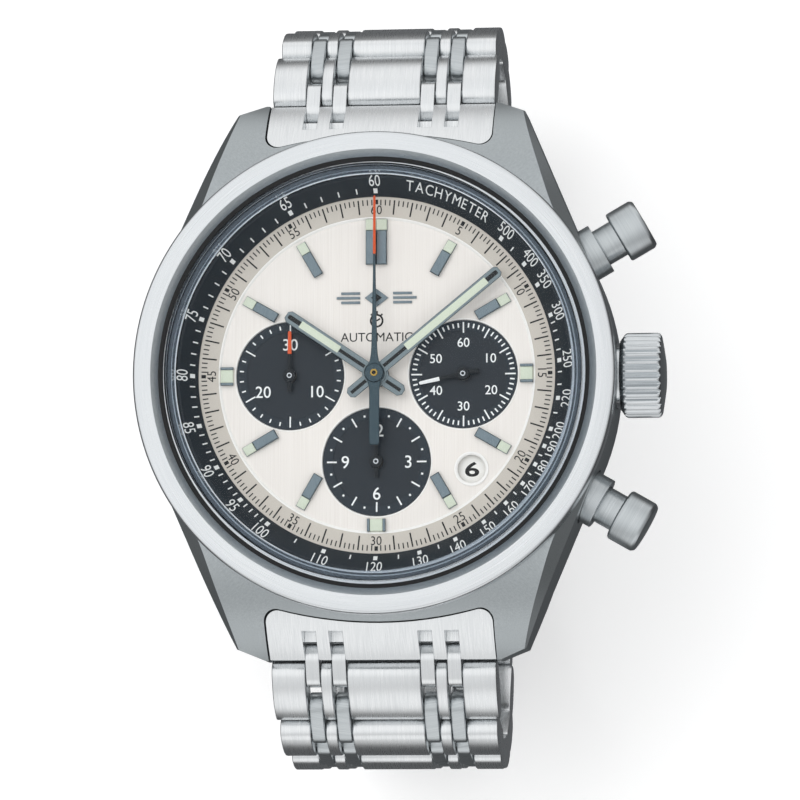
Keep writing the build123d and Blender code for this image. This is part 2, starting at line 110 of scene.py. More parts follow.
class Paint:
    """One procedural material and short calls for its nodes."""

    def __init__(self, name):
        self.material = bpy.data.materials.new(name)
        self.material.use_nodes = True
        self.tree = self.material.node_tree
        self.shader = self.tree.nodes["Principled BSDF"]
        self.place = self.node("ShaderNodeTexCoord").outputs["Object"]

    def node(self, kind, inputs=None, **settings):
        return add_node(self.tree, kind, inputs, **settings)

    def put(self, **values):
        for key, value in values.items():
            socket = self.shader.inputs[key.replace("_", " ")]
            if isinstance(value, bpy.types.NodeSocket):
                self.tree.links.new(value, socket)
            else:
                socket.default_value = value
        return self

    def maths(self, operation, a, b=0.0):
        return self.node("ShaderNodeMath", {0: a, 1: b}, operation=operation).outputs[0]

    def axes(self):
        return self.node("ShaderNodeSeparateXYZ", {0: self.place}).outputs

    def join(self, x, y, z):
        return self.node("ShaderNodeCombineXYZ", {0: x, 1: y, 2: z}).outputs[0]

    def stretch(self, x, y, z):
        """Object coordinates in units of x, y and z millimetres."""
        scale = [1 / (length * MM) for length in (x, y, z)]
        return self.node("ShaderNodeMapping", {"Vector": self.place, "Scale": scale}).outputs[0]

    def around(self, centre, width, turn):
        """Coordinates for marks that run in circles round a point: radius and angle."""
        x, y, z = self.axes()
        dx = self.maths("SUBTRACT", x, centre[0] * MM)
        dy = self.maths("SUBTRACT", y, centre[1] * MM)
        square = self.maths("ADD", self.maths("MULTIPLY", dx, dx), self.maths("MULTIPLY", dy, dy))
        radius = self.maths("SQRT", square)
        safe = self.maths("MAXIMUM", radius, 1e-5)
        return self.join(
            self.maths("MULTIPLY", radius, 1 / (width * MM)),
            self.maths("MULTIPLY", self.maths("DIVIDE", dx, safe), turn),
            self.maths("MULTIPLY", self.maths("DIVIDE", dy, safe), turn))

    def noise(self, vector, scale=1.0, detail=3.0, rough=0.6):
        found = self.node("ShaderNodeTexNoise", {
            "Vector": vector, "Scale": scale, "Detail": detail, "Roughness": rough})
        return found.outputs["Fac"]

    def span(self, value, low, high):
        """Remap the middle of a noise pattern, 0.3 to 0.7, to low to high."""
        made = self.node("ShaderNodeMapRange", {
            "Value": value, "From Min": 0.3, "From Max": 0.7, "To Min": low, "To Max": high})
        return made.outputs["Result"]

    def mix(self, fac, a, b):
        """Colour between a and b; 6, 7 and output 2 are the node's colour sockets."""
        return self.node("ShaderNodeMix", {0: fac, 6: a, 7: b}, data_type="RGBA").outputs[2]

    def bump(self, height, strength, distance):
        """Bump whose height is in millimetres."""
        made = self.node("ShaderNodeBump", {
            "Height": height, "Strength": strength, "Distance": distance * MM})
        return self.put(Normal=made.outputs["Normal"])


def metal(name, light, dark, rough, grain, relief):
    """Steel or brass; rough is a (low, high) pair.

    grain is ("line", x, y, z) in millimetres, ("ring", centre, width, turn),
    or ("fold", angle, width, length) for strokes mirrored in both halves of the case.
    """
    paint = Paint(name)
    if grain[0] == "line":
        vector = paint.stretch(*grain[1:])
    elif grain[0] == "ring":
        vector = paint.around(*grain[1:])
    else:
        x, y, z = paint.axes()
        side = paint.maths("ABSOLUTE", x)
        rise = paint.maths("ABSOLUTE", y)
        turn, width, length = radians(grain[1]), grain[2] * MM, grain[3] * MM
        across = paint.maths(
            "SUBTRACT", paint.maths("MULTIPLY", side, cos(turn)), paint.maths("MULTIPLY", rise, sin(turn)))
        along = paint.maths(
            "ADD", paint.maths("MULTIPLY", side, sin(turn)), paint.maths("MULTIPLY", rise, cos(turn)))
        vector = paint.join(
            paint.maths("MULTIPLY", across, 1 / width),
            paint.maths("MULTIPLY", along, 1 / length),
            paint.maths("MULTIPLY", z, 1 / width))
    marks = paint.noise(vector, 1.0, 4.0, 0.7)
    cloud = paint.noise(paint.stretch(6, 6, 6), 1.0, 3.0)
    tone = paint.mix(paint.span(marks, 0.0, 1.0), linear(dark), linear(light))
    blend = paint.mix(paint.span(cloud, 0.0, 0.18), tone, linear(dark))
    paint.put(Base_Color=blend, Metallic=1.0, Roughness=paint.span(marks, rough[1], rough[0]))
    paint.bump(marks, 0.6, relief)
    return paint.material


def coat(name, light, dark, rough, grain, relief, metallic=0.0, coat_weight=0.0):
    """Paint, lacquer, rubber or plastic with a fine uneven surface."""
    paint = Paint(name)
    marks = paint.noise(paint.stretch(*grain), 1.0, 4.0, 0.65)
    cloud = paint.noise(paint.stretch(3, 3, 3), 1.0, 2.0)
    tone = paint.mix(paint.span(marks, 0.0, 1.0), linear(dark), linear(light))
    tone = paint.mix(paint.span(cloud, 0.0, 0.25), tone, linear(dark))
    paint.put(Base_Color=tone, Metallic=metallic, Roughness=paint.span(marks, rough[1], rough[0]),
              Coat_Weight=coat_weight, Coat_Roughness=0.08)
    paint.bump(marks, 0.5, relief)
    return paint.material


def dial_face(name, places, reach):
    """Cream brushed dial with dark counter floors."""
    paint = Paint(name)
    marks = paint.noise(paint.stretch(0.07, 9.0, 3.0), 1.0, 4.0, 0.7)
    cloud = paint.noise(paint.stretch(9, 9, 9), 1.0, 2.0)
    cream = paint.mix(paint.span(marks, 0.0, 1.0), linear("#E9E1D8"), linear("#F4EDE5"))
    cream = paint.mix(paint.span(cloud, 0.0, 0.3), cream, linear("#EAE2D9"))
    x, y, z = paint.axes()
    inside = 0.0
    for cx, cy in places:
        dx = paint.maths("SUBTRACT", x, cx * MM)
        dy = paint.maths("SUBTRACT", y, cy * MM)
        square = paint.maths("ADD", paint.maths("MULTIPLY", dx, dx), paint.maths("MULTIPLY", dy, dy))
        inside = paint.maths("ADD", inside, paint.maths("LESS_THAN", square, (reach * MM) ** 2))
    paint.put(Base_Color=paint.mix(inside, cream, linear("#1B242B")),
              Roughness=paint.span(marks, 0.5, 0.38), Metallic=0.12)
    paint.bump(marks, 0.5, 0.0015)
    return paint.material


def glass(name, tint, strength, haze):
    """Thin clear crystal: it lets light through and keeps a gloss that grows at a glancing angle."""
    material = bpy.data.materials.new(name)
    material.use_nodes = True
    tree = material.node_tree
    tree.nodes.remove(tree.nodes["Principled BSDF"])
    clear = add_node(tree, "ShaderNodeBsdfTransparent", {"Color": linear(tint)})
    place = add_node(tree, "ShaderNodeTexCoord").outputs["Object"]
    wipe = add_node(tree, "ShaderNodeTexNoise", {"Vector": place, "Scale": 140.0}).outputs["Fac"]
    rough = add_node(tree, "ShaderNodeMapRange", {"Value": wipe, "To Min": haze * 0.6, "To Max": haze})
    gloss = add_node(tree, "ShaderNodeBsdfGlossy", {
        "Color": (1.0, 1.0, 1.0, 1.0), "Roughness": rough.outputs["Result"]})
    edge = add_node(tree, "ShaderNodeLayerWeight", {"Blend": 0.12}).outputs["Fresnel"]
    share = add_node(tree, "ShaderNodeMath", {0: edge, 1: strength}, operation="MULTIPLY", use_clamp=True)
    both = add_node(tree, "ShaderNodeMixShader", {
        0: share.outputs[0], 1: clear.outputs[0], 2: gloss.outputs[0]})
    tree.links.new(both.outputs[0], tree.nodes["Material Output"].inputs["Surface"])
    return material


SUBDIALS = [
    tuple(joint_at(name).xy) for name in ("small_seconds_turn", "minute_counter_turn", "hour_counter_turn")]
COUNTER_R = 4.76
BRUSH_ROW = metal("steel_brushed_rows", "#F2F4F5", "#DDE0E2", (0.24, 0.34), ("line", 0.06, 3.0, 3.0), 0.0015)
BRUSH_LUG = metal("steel_brushed_case", "#B9BFC1", "#A2A8AB", (0.28, 0.4), ("fold", 38.0, 0.06, 5.0), 0.0015)
BRUSH_BEZEL = metal("steel_bezel", "#E8EBED", "#DADEE1", (0.24, 0.32), ("ring", (0, 0), 0.06, 3.0), 0.0006)
BRUSH_RIM = metal(
    "steel_bezel_chamfer", "#C3C8CA", "#A2A8AB", (0.26, 0.4), ("ring", (0, 0), 0.04, 30.0), 0.003)
SEAT = metal("steel_glass_seat", "#94989B", "#6F7376", (0.2, 0.3), ("ring", (0, 0), 0.03, 6.0), 0.001)
POLISH = metal("steel_polished", "#E0E3E5", "#CDD1D4", (0.14, 0.22), ("line", 0.4, 3.0, 3.0), 0.0008)
SATIN = metal("steel_satin", "#D3D8DA", "#B4BABD", (0.26, 0.36), ("ring", (0, 0), 0.05, 3.0), 0.001)
HAND_GREY = metal("steel_hands", "#8F9A9D", "#7B878B", (0.3, 0.4), ("line", 0.1, 0.1, 1.0), 0.0006)
NEEDLE_GREY = metal("steel_needle", "#56646A", "#45535A", (0.26, 0.36), ("line", 0.1, 1.0, 1.0), 0.0006)
MARKER_GREY = metal("steel_markers", "#8C989D", "#76838A", (0.26, 0.36), ("line", 0.06, 1.0, 1.0), 0.0006)
CROWN_STEEL = metal("steel_crown", "#E2E5E7", "#BDC2C5", (0.08, 0.16), ("line", 4.0, 0.06, 0.06), 0.001)
NICKEL = metal("nickel_stripes", "#C9C6BF", "#8F8C86", (0.18, 0.34), ("line", 1.6, 40.0, 40.0), 0.02)
PERLAGE = metal("nickel_grained", "#B9B7B1", "#86847F", (0.25, 0.4), ("line", 0.25, 0.25, 0.25), 0.004)
BRASS = metal("brass_gilt", "#D8B76A", "#A88748", (0.2, 0.35), ("ring", (0, 0), 0.08, 3.0), 0.003)
BLUED = metal("steel_screws", "#B9BCC2", "#84878E", (0.12, 0.25), ("line", 0.2, 0.2, 0.2), 0.001)
RING_BLACK = coat("ring_black", "#1B262E", "#131C23", (0.34, 0.5), (0.06, 0.06, 0.06), 0.001)
NAVY = coat("counter_navy", "#1F2830", "#151D24", (0.36, 0.5), (0.08, 0.08, 0.08), 0.001)
NAVY_RING = coat("counter_navy_outer", "#222D36", "#172129", (0.34, 0.46), (0.08, 0.08, 0.08), 0.001)
BEIGE = coat("ring_beige", "#D3CBBF", "#C6BDB1", (0.4, 0.55), (0.05, 0.05, 0.05), 0.001)
# near-white cream: on the counter rims and the minute-track lip, this whiter-than-dial colour is a painted
# highlight for the light caught along their edges; on the date window rim it is the rim's own cream
CREAM_AND_PAINTED_HIGHLIGHT = coat("rim_cream_and_painted_highlight", "#FFFDF8", "#F4EFE8", (0.25, 0.35), (0.1, 0.1, 0.1), 0.0005)
LUME = coat("lume", "#DCE2CF", "#CDD4BE", (0.6, 0.8), (0.09, 0.09, 0.09), 0.006)
PRINT_WHITE = coat("print_white", "#FAFAF7", "#E6E7E4", (0.4, 0.55), (0.07, 0.07, 0.07), 0.001)
PRINT_BLACK = coat("print_black", "#141516", "#0B0C0D", (0.45, 0.6), (0.07, 0.07, 0.07), 0.001)
INLAY_BLACK = coat("inlay_black", "#181A1C", "#0E1012", (0.35, 0.5), (0.07, 0.4, 0.07), 0.001)
HAND_BLACK = coat("hand_black", "#23282C", "#15191C", (0.25, 0.4), (0.08, 0.4, 0.08), 0.001, 0.3)
ORANGE = coat("lacquer_orange", "#E85E2C", "#D14E20", (0.3, 0.45), (0.1, 0.6, 0.1), 0.001, 0.0, 0.2)
WHITE_TIP = coat("lacquer_white", "#FAFAF8", "#E8E8E5", (0.3, 0.45), (0.1, 0.5, 0.1), 0.001)
RUBBER = coat("rubber_black", "#121315", "#08090A", (0.55, 0.75), (0.12, 0.12, 0.12), 0.004)
NYLON = coat("nylon_holder", "#D8D6CE", "#BDBBB2", (0.45, 0.6), (0.3, 0.3, 0.3), 0.004)
DATE_WHITE = coat("date_white", "#F7F5F0", "#EAE7E0", (0.4, 0.55), (0.1, 0.1, 0.1), 0.001)
CLEAR = glass("sapphire", "#FDFEFF", 0.5, 0.03)
CLEAR_EDGE = glass("sapphire_edge", "#E4E8EC", 1.2, 0.12)
DIAL = dial_face("dial_cream", SUBDIALS, COUNTER_R)


# ---------------------------------------------------------------- mesh helpers
ON_AXIS = 1e-6           # a lathe point nearer than this lies on the axis
SHARP = 28.0             # CAD edges steeper than this are softened


def add_object(name, data, paint, body, stands_for=()):
    made = bpy.data.objects.new(name, data)
    SCENE.collection.objects.link(made)
    data.materials.append(paint)
    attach(made, body)
    if stands_for:
        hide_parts(*stands_for)
    return made


def smooth(data, sharp):
    data.polygons.foreach_set("use_smooth", [True] * len(data.polygons))
    data.set_sharp_from_angle(angle=radians(sharp))


def piece(name, shape, paint, body, stands_for=(), sharp=30.0):
    """A named piece from points in millimetres and faces."""
    points, faces = shape
    work = bmesh.new()
    corners = [work.verts.new(Vector(p) * MM) for p in points]
    for face in faces:
        work.faces.new([corners[index] for index in face])
    bmesh.ops.remove_doubles(work, verts=work.verts, dist=2e-9)
    bmesh.ops.recalc_face_normals(work, faces=work.faces)
    data = bpy.data.meshes.new(name)
    work.to_mesh(data)
    work.free()
    smooth(data, sharp)
    return add_object(name, data, paint, body, stands_for)


def joined(shapes):
    points, faces = [], []
    for more_points, more_faces in shapes:
        start = len(points)
        points.extend(more_points)
        faces.extend([tuple(start + index for index in face) for face in more_faces])
    return points, faces


def moved(shape, change):
    return [change(p) for p in shape[0]], shape[1]


def softened(outline, size, steps=3):
    """Round every corner of a closed outline; a point's own third number overrides the size."""
    out = []
    count = len(outline)
    for index, corner in enumerate(outline):
        here = Vector(corner[:2])
        before = Vector(outline[index - 1][:2])
        after = Vector(outline[(index + 1) % count][:2])
        reach = corner[2] if len(corner) > 2 else size
        back = min(reach, 0.45 * (before - here).length)
        on = min(reach, 0.45 * (after - here).length)
        if reach <= 0 or here.x < ON_AXIS:
            out.append(tuple(here))
            continue
        start = here + (before - here).normalized() * back
        end = here + (after - here).normalized() * on
        for step in range(steps + 1):
            t = step / steps
            out.append(tuple(start * (1 - t) ** 2 + here * 2 * t * (1 - t) + end * t * t))
    return out


def lathe(outline, steps=256, centre=(0.0, 0.0)):
    """Turn a closed (r, z) outline about a vertical axis."""
    points, faces = [], []
    count = len(outline)
    for index in range(steps):
        angle = 2 * pi * index / steps
        points.extend([(centre[0] + r * cos(angle), centre[1] + r * sin(angle), z) for r, z in outline])
        after = (index + 1) % steps
        for k in range(count):
            m = (k + 1) % count
            ends = outline[k][0] > ON_AXIS, outline[m][0] > ON_AXIS
            quad = [index * count + k]
            if ends[0]:
                quad.append(after * count + k)
            if ends[1]:
                quad.append(after * count + m)
            quad.append(index * count + m)
            if len(quad) > 2 and any(ends):
                faces.append(tuple(quad))
    return points, faces


def along_x(shape, height):
    """Lay a lathe shape down so that its axis is +X at a height."""
    return moved(shape, lambda p: (p[2], p[0], height + p[1]))


def turned(shape, angle):
    """Turn a shape anticlockwise about the hand axis."""
    c, s = cos(radians(angle)), sin(radians(angle))
    return moved(shape, lambda p: (c * p[0] - s * p[1], s * p[0] + c * p[1], p[2]))


def dialled(shape, angle, centre=(0.0, 0.0)):
    """Turn a shape drawn at twelve clockwise to its place round a centre."""
    shape = turned(shape, -angle)
    return moved(shape, lambda p: (p[0] + centre[0], p[1] + centre[1], p[2]))


def inset(outline, depth):
    """Every point of an anticlockwise outline moved inwards."""
    out = []
    count = len(outline)
    for index, corner in enumerate(outline):
        here = Vector(corner)
        into = (here - Vector(outline[index - 1])).normalized()
        away = (Vector(outline[(index + 1) % count]) - here).normalized()
        a, b = Vector((-into.y, into.x)), Vector((-away.y, away.x))
        out.append(tuple(here + (a + b) * depth / max(0.4, 1 + a.dot(b))))
    return out


def prism(outline, low, high, bevel=0.06, steps=2):
    """Solid of an anticlockwise outline with rounded rims; the third coordinate is its height."""
    rings = []
    for step in range(steps + 1):
        turn = pi / 2 * step / steps
        rings.append((bevel * (1 - sin(turn)), low + bevel * (1 - cos(turn))))
    rings += [(depth, low + high - level) for depth, level in reversed(rings)]
    points, faces = [], []
    count = len(outline)
    for depth, level in rings:
        points.extend([(u, v, level) for u, v in (inset(outline, depth) if depth > 1e-9 else outline)])
    for ring in range(len(rings) - 1):
        for k in range(count):
            m = (k + 1) % count
            faces.append((ring * count + k, ring * count + m, (ring + 1) * count + m, (ring + 1) * count + k))
    last = (len(rings) - 1) * count
    faces.append(tuple(reversed(range(count))))
    faces.append(tuple(range(last, last + count)))
    return points, faces


def slab(x0, x1, y0, y1, z0, z1, bevel=0.03, steps=1):
    return prism([(x0, y0), (x1, y0), (x1, y1), (x0, y1)], z0, z1, bevel, steps)


def cad_copy(name, node, paint, body, bevel):
    """A CAD node rebuilt with merged facets and softened edges."""
    work = bmesh.new()
    work.from_mesh(frame["nodes"][node].data)
    bmesh.ops.remove_doubles(work, verts=work.verts, dist=1e-7)
    bmesh.ops.dissolve_limit(work, angle_limit=radians(0.4), verts=work.verts, edges=work.edges)
    data = bpy.data.meshes.new(name)
    work.to_mesh(data)
    work.free()
    for key in [a.name for a in data.attributes if a.name in ("custom_normal", "sharp_edge")]:
        data.attributes.remove(data.attributes[key])
    data.materials.clear()
    smooth(data, SHARP)
    made = add_object(name, data, paint, body, (node,))
    if bevel:
        cut = made.modifiers.new("edge", "BEVEL")
        cut.width = bevel * MM
        cut.segments = 2
        cut.limit_method = "ANGLE"
        cut.angle_limit = radians(SHARP)
        cut.harden_normals = True


# ---------------------------------------------------------------- printing
GLYPHS = {}
PRINT_DEEP = 0.02        # how far print sinks into its surface
PRINT_HIGH = 0.012       # and stands above it


def lettering(text, weight=0.0):
    """Flat solid lettering, cap height 1 and centred, from the built-in font."""
    key = (text, weight)
    if key not in GLYPHS:
        curve = bpy.data.curves.new("lettering", "FONT")
        curve.body = text
        curve.extrude = 0.05
        curve.offset = weight
        curve.resolution_u = 4
        holder = bpy.data.objects.new("lettering", curve)
        data = bpy.data.meshes.new_from_object(holder)
        spots = [tuple(v.co) for v in data.vertices]
        faces = [tuple(p.vertices) for p in data.polygons]
        bpy.data.meshes.remove(data)
        bpy.data.objects.remove(holder)
        bpy.data.curves.remove(curve)
        middle = (min(p[0] for p in spots) + max(p[0] for p in spots)) / 2
        GLYPHS[key] = [(p[0] - middle, p[1], 1 if p[2] > 0 else 0) for p in spots], faces
    return GLYPHS[key]


CAP = max(p[1] for p in lettering("H")[0])


def sink(level, top):
    """Height of a print point: level is its surface, top says which face it is on."""
    return level + PRINT_HIGH if top else level - PRINT_DEEP


def word(text, height, place, surface, narrow=0.9, weight=0.0):
    """Lettering put through place(x, y) -> (X, Y) onto surface(X, Y) -> Z."""
    scale = height / CAP
    points = []
    for u, v, top in lettering(text, weight)[0]:
        x, y = place(u * scale * narrow, v * scale - height / 2)
        points.append((x, y, sink(surface(x, y), top)))
    return points, lettering(text, weight)[1]


def upright(cx, cy):
    return lambda x, y: (cx + x, cy + y)


def radial(radius, angle, outward=True, centre=(0.0, 0.0)):
    """Place on a ring, clockwise from twelve, with tops outward or inward."""
    s, c = sin(radians(angle)), cos(radians(angle))
    sign = 1 if outward else -1
    return lambda x, y: (
        centre[0] + s * (radius + sign * y) + c * sign * x,
        centre[1] + c * (radius + sign * y) - s * sign * x)


def tick(low, high, width, angle, surface, centre=(0.0, 0.0)):
    """A printed mark from one radius to another."""
    place = radial(0.0, angle, True, centre)
    corners = [place(x, y) for x, y in
               ((-width / 2, low), (width / 2, low), (width / 2, high), (-width / 2, high))]
    points = [(x, y, sink(surface(x, y), top)) for top in (0, 1) for x, y in corners]
    return points, [(3, 2, 1, 0), (4, 5, 6, 7), (0, 1, 5, 4), (1, 2, 6, 5), (2, 3, 7, 6), (3, 0, 4, 7)]


def flat(level):
    return lambda x, y: level


def sloped(start, end):
    """Surface of a cone through two (r, z) points."""
    rise = (end[1] - start[1]) / (end[0] - start[0])
    return lambda x, y: start[1] + (hypot(x, y) - start[0]) * rise


# ---------------------------------------------------------------- case, bezel and crystal
bezel_low, bezel_high = box("bezel")
BEZEL_R = bezel_high.x
RIM_Z = bezel_high.z
crystal_high = box("crystal")[1]
GLASS_R = crystal_high.x
DOME_R = 17.35


def build_case():
    cad_copy("middle_case", "case_body", BRUSH_LUG, "case", 0.22)
    seam = bezel_low.z
    piece("bezel_ring", lathe(softened([
        (17.5, seam), (BEZEL_R - 0.12, seam, 0.02), (BEZEL_R - 0.12, seam + 0.12, 0.02),
        (BEZEL_R, seam + 0.18, 0.05), (BEZEL_R, RIM_Z - 0.5, 0.12), (BEZEL_R - 0.15, RIM_Z - 0.2, 0.15),
        (19.38, RIM_Z, 0.02), (19.36, RIM_Z - 0.06, 0.0), (18.66, RIM_Z - 0.56, 0.0),
        (18.62, seam + 1.2, 0.02), (17.3, seam + 1.2, 0.02), (17.3, seam + 0.8), (17.5, seam + 0.8)],
        0.02), 360), BRUSH_BEZEL, "case", ("bezel",))
    piece("bezel_chamfer", lathe(softened([
        (19.4, RIM_Z - 0.1, 0.0), (19.4, RIM_Z, 0.02), (18.64, RIM_Z - 0.54, 0.03), (18.64, seam + 1.2, 0.0),
        (18.7, seam + 1.2, 0.0), (18.72, RIM_Z - 0.56, 0.0)], 0.01), 360),
        BRUSH_RIM, "case", ())
    edge, foot = RIM_Z + 1.0, 12.4
    rise = crystal_high.z - edge
    sphere = (DOME_R ** 2 + rise ** 2) / (2 * rise)
    dome = []
    for index in range(14):
        r = DOME_R * (1 - index / 14)
        dome.append((r, crystal_high.z - sphere + sqrt(sphere ** 2 - r ** 2)))
    piece("crystal_dome", lathe([(DOME_R, foot)] + dome + [(0, crystal_high.z), (0, foot)], 200),
          CLEAR, "case", ("crystal",), 20)
    piece("crystal_edge", lathe(softened([
        (DOME_R + 0.01, 10.95, 0.0), (GLASS_R - 0.25, 10.95, 0.02), (GLASS_R - 0.25, RIM_Z + 0.35, 0.05),
        (DOME_R + 0.01, edge, 0.05)], 0.02), 256), CLEAR_EDGE, "case", ())
    cad_copy("glass_gasket", "crystal_gasket", RUBBER, "case", 0.02)
    for name, node, paint, finish in (
            ("back_ring", "case_back_ring", POLISH, "polished_steel"),
            ("crown_sleeve", "crown_tube", POLISH, "polished_steel"),
            ("pusher_sleeves", "pusher_tubes", SATIN, "polished_steel"),
            ("bar_pins", "spring_bars", POLISH, "polished_steel")):
        cad_copy(name, node, paint, "case", 0.06)
    cad_copy("back_seal", "back_gasket", RUBBER, "case", 0.02)
    cad_copy("back_window", "back_crystal", CLEAR, "case", 0.0)


# ---------------------------------------------------------------- dial
DIAL_Z = 8.4
TRACK = sloped((13.85, DIAL_Z + 0.14), (15.62, DIAL_Z + 0.3))
TACHY = sloped((15.62, 8.85), (17.0, 10.4))
TACHY_SPEEDS = (
    *range(60, 100, 5), *range(100, 200, 10), 200, 220, 250, 300, 350, 400, 500)


def read_up(angle):
    """Numerals read from outside in the upper part of a ring and from inside in the lower part."""
    angle %= 360
    return angle <= 91 or angle >= 269


def tachymeter_marks():
    """Speeds and finer marks; each stands where the hand points after 3600 / speed seconds."""
    shapes = []
    for speed in TACHY_SPEEDS:
        angle = 360 * 60 / speed
        tops_out = speed >= 250 or speed <= 80
        shapes.append(word(str(speed), 0.84, radial(16.82, angle, tops_out), TACHY, 0.86))
        shapes.append(tick(15.85, 16.22, 0.36, angle, TACHY))
    step = {60: 1, 100: 5, 200: 10, 300: 50}
    speed = 60
    while speed < 500:
        if speed not in TACHY_SPEEDS:
            shapes.append(tick(15.85, 16.25, 0.12, 360 * 60 / speed, TACHY))
        speed += step[max(limit for limit in step if limit <= speed)]
    height, radius, narrow, gap, turn = 0.8, 16.63, 0.95, 0.62, 9.6
    for letter in "TACHYMETER":
        width = max(p[0] for p in lettering(letter)[0]) * 2 * height / CAP
        half = degrees(width * narrow / 2 / radius)
        turn += half
        shapes.append(word(letter, height, radial(radius, turn), TACHY, narrow))
        turn += half + gap
    return shapes


def minute_marks():
    """Quarter-second marks, longer at each second, with numerals every five."""
    shapes = []
    outer = 15.35
    for index in range(240):
        angle = 1.5 * index
        if index % 20 == 0:
            shapes.append(tick(14.95, outer, 0.3, angle, TRACK))
            minute = index // 4 or 60
            shapes.append(word(str(minute), 0.76, radial(14.46, angle, read_up(angle)), TRACK, 0.92))
        elif index % 4 == 0:
            shapes.append(tick(14.1, outer, 0.13, angle, TRACK))
        else:
            shapes.append(tick(14.86, outer, 0.1, angle, TRACK))
    return shapes


def build_rings():
    piece("tachymeter_slope", lathe(softened([
        (15.58, DIAL_Z), (17.42, DIAL_Z), (17.42, 10.42), (17.02, 10.42, 0.03), (15.6, 8.84, 0.03)],
        0.02), 300), RING_BLACK, "case", ("tachymeter_ring",))
    piece("glass_seat", lathe(softened([
        (17.26, 10.2), (18.15, 10.2), (18.15, 10.82), (18.03, 10.92), (17.95, 10.86), (17.72, 10.86),
        (17.7, 10.72), (17.62, 10.7), (17.6, 10.84), (17.42, 10.8), (17.4, 10.6), (17.3, 10.62),
        (17.26, 10.5)], 0.012, 1), 300), SEAT, "case", ())
    piece("tachymeter_print", joined(tachymeter_marks()), PRINT_WHITE, "case")
    piece("minute_track", lathe(softened([
        (13.7, DIAL_Z - 0.02), (15.6, DIAL_Z - 0.02), (15.6, DIAL_Z + 0.298, 0.0),
        (13.88, DIAL_Z + 0.143, 0.05), (13.72, DIAL_Z + 0.03, 0.03)], 0.01), 300),
        BEIGE, "case", ("minute_track_ring",))
    # the lip is coloured near white as a painted highlight along the edge of the minute track
    piece("minute_track_lip", lathe(softened([
        (13.6, DIAL_Z), (13.8, DIAL_Z), (13.86, DIAL_Z + 0.16), (13.78, DIAL_Z + 0.16)], 0.02), 300),
        CREAM_AND_PAINTED_HIGHLIGHT, "case")
    piece("minute_track_print", joined(minute_marks()), PRINT_BLACK, "case")


COUNTER_FLOOR = DIAL_Z - 0.1
COUNTER_STEP = 3.83      # radius where a counter's grooved middle meets its raised ring
INNER = flat(COUNTER_FLOOR - 0.034)
OUTER = flat(COUNTER_FLOOR + 0.022)


def turned_grooves(start, end, high, low):
    """Outline of record-like grooves, from the outermost inwards."""
    width, pitch = 0.07, 0.14
    out = []
    r = start
    while r > end:
        out += [(r, COUNTER_FLOOR + high), (r - width, COUNTER_FLOOR + low)]
        r -= pitch
    return out


def counter_ticks(centre, count, longs, short_span, long_span, width):
    """Marks round a counter; a long one steps down into the middle."""
    out = []
    for index in range(count):
        angle = 360 * index / count
        low, high = long_span if index % longs == 0 else short_span
        out.append(tick(max(low, COUNTER_STEP - 0.03), high, width, angle, OUTER, centre))
        if low < COUNTER_STEP - 0.03:
            out.append(tick(low, COUNTER_STEP, width, angle, INNER, centre))
    return out


def counter_numbers(centre, texts, radius, height):
    """Upright numerals evenly round a counter, the first at the top."""
    out = []
    for index, text in enumerate(texts):
        x, y = radial(radius, 360 * index / len(texts), True, centre)(0, 0)
        out.append(word(text, height, upright(x, y), INNER, 0.98, 0.004))
    return out


def build_counters():
    floor = COUNTER_FLOOR
    inner_grooves = turned_grooves(3.8, 0.75, -0.035, -0.047)
    outer_grooves = turned_grooves(4.7, 3.95, 0.02, 0.011)
    for name, centre in zip(("seconds", "minutes", "hours"), SUBDIALS):
        piece(f"counter_{name}_floor", lathe(
            [(0.58, floor - 0.058), (3.82, floor - 0.058)] + inner_grooves + [(0.58, floor - 0.04)],
            128, centre), NAVY, "case", ())
        piece(f"counter_{name}_step", lathe(
            [(3.84, floor - 0.05), (COUNTER_R, floor - 0.05)] + outer_grooves + [(3.86, floor + 0.015)],
            128, centre), NAVY_RING, "case", ())
        # the rim is coloured near white as a painted highlight along the counter's edge
        piece(f"counter_{name}_rim", lathe(softened([
            (4.72, floor), (4.9, floor), (4.88, DIAL_Z + 0.045), (4.8, DIAL_Z + 0.045)], 0.015), 160, centre),
            CREAM_AND_PAINTED_HIGHLIGHT, "case")
    seconds, minutes, hours = SUBDIALS
    shapes = counter_ticks(seconds, 60, 5, (4.08, 4.48), (3.62, 4.55), 0.13)
    shapes += counter_numbers(seconds, ("60", "10", "20", "30", "40", "50"), 2.78, 0.78)
    shapes += counter_ticks(minutes, 30, 5, (4.1, 4.45), (3.55, 4.5), 0.12)
    shapes += counter_numbers(minutes, ("30", "10", "20"), 2.75, 0.98)
    shapes += counter_ticks(hours, 12, 1, (3.5, 4.35), (3.5, 4.35), 0.14)
    shapes += [tick(4.02, 4.2, 0.17, 30 * index + 15, OUTER, hours) for index in range(12)]
    shapes += counter_numbers(hours, ("12", "3", "6", "9"), 2.75, 1.05)
    piece("counter_print", joined(shapes), PRINT_WHITE, "case")


def marker_block(x0, x1, y0, y1, top):
    """Applied bar: a flat top with four narrow bright bevels."""
    return slab(x0, x1, y0, y1, DIAL_Z - 0.02, top, 0.07, 1)


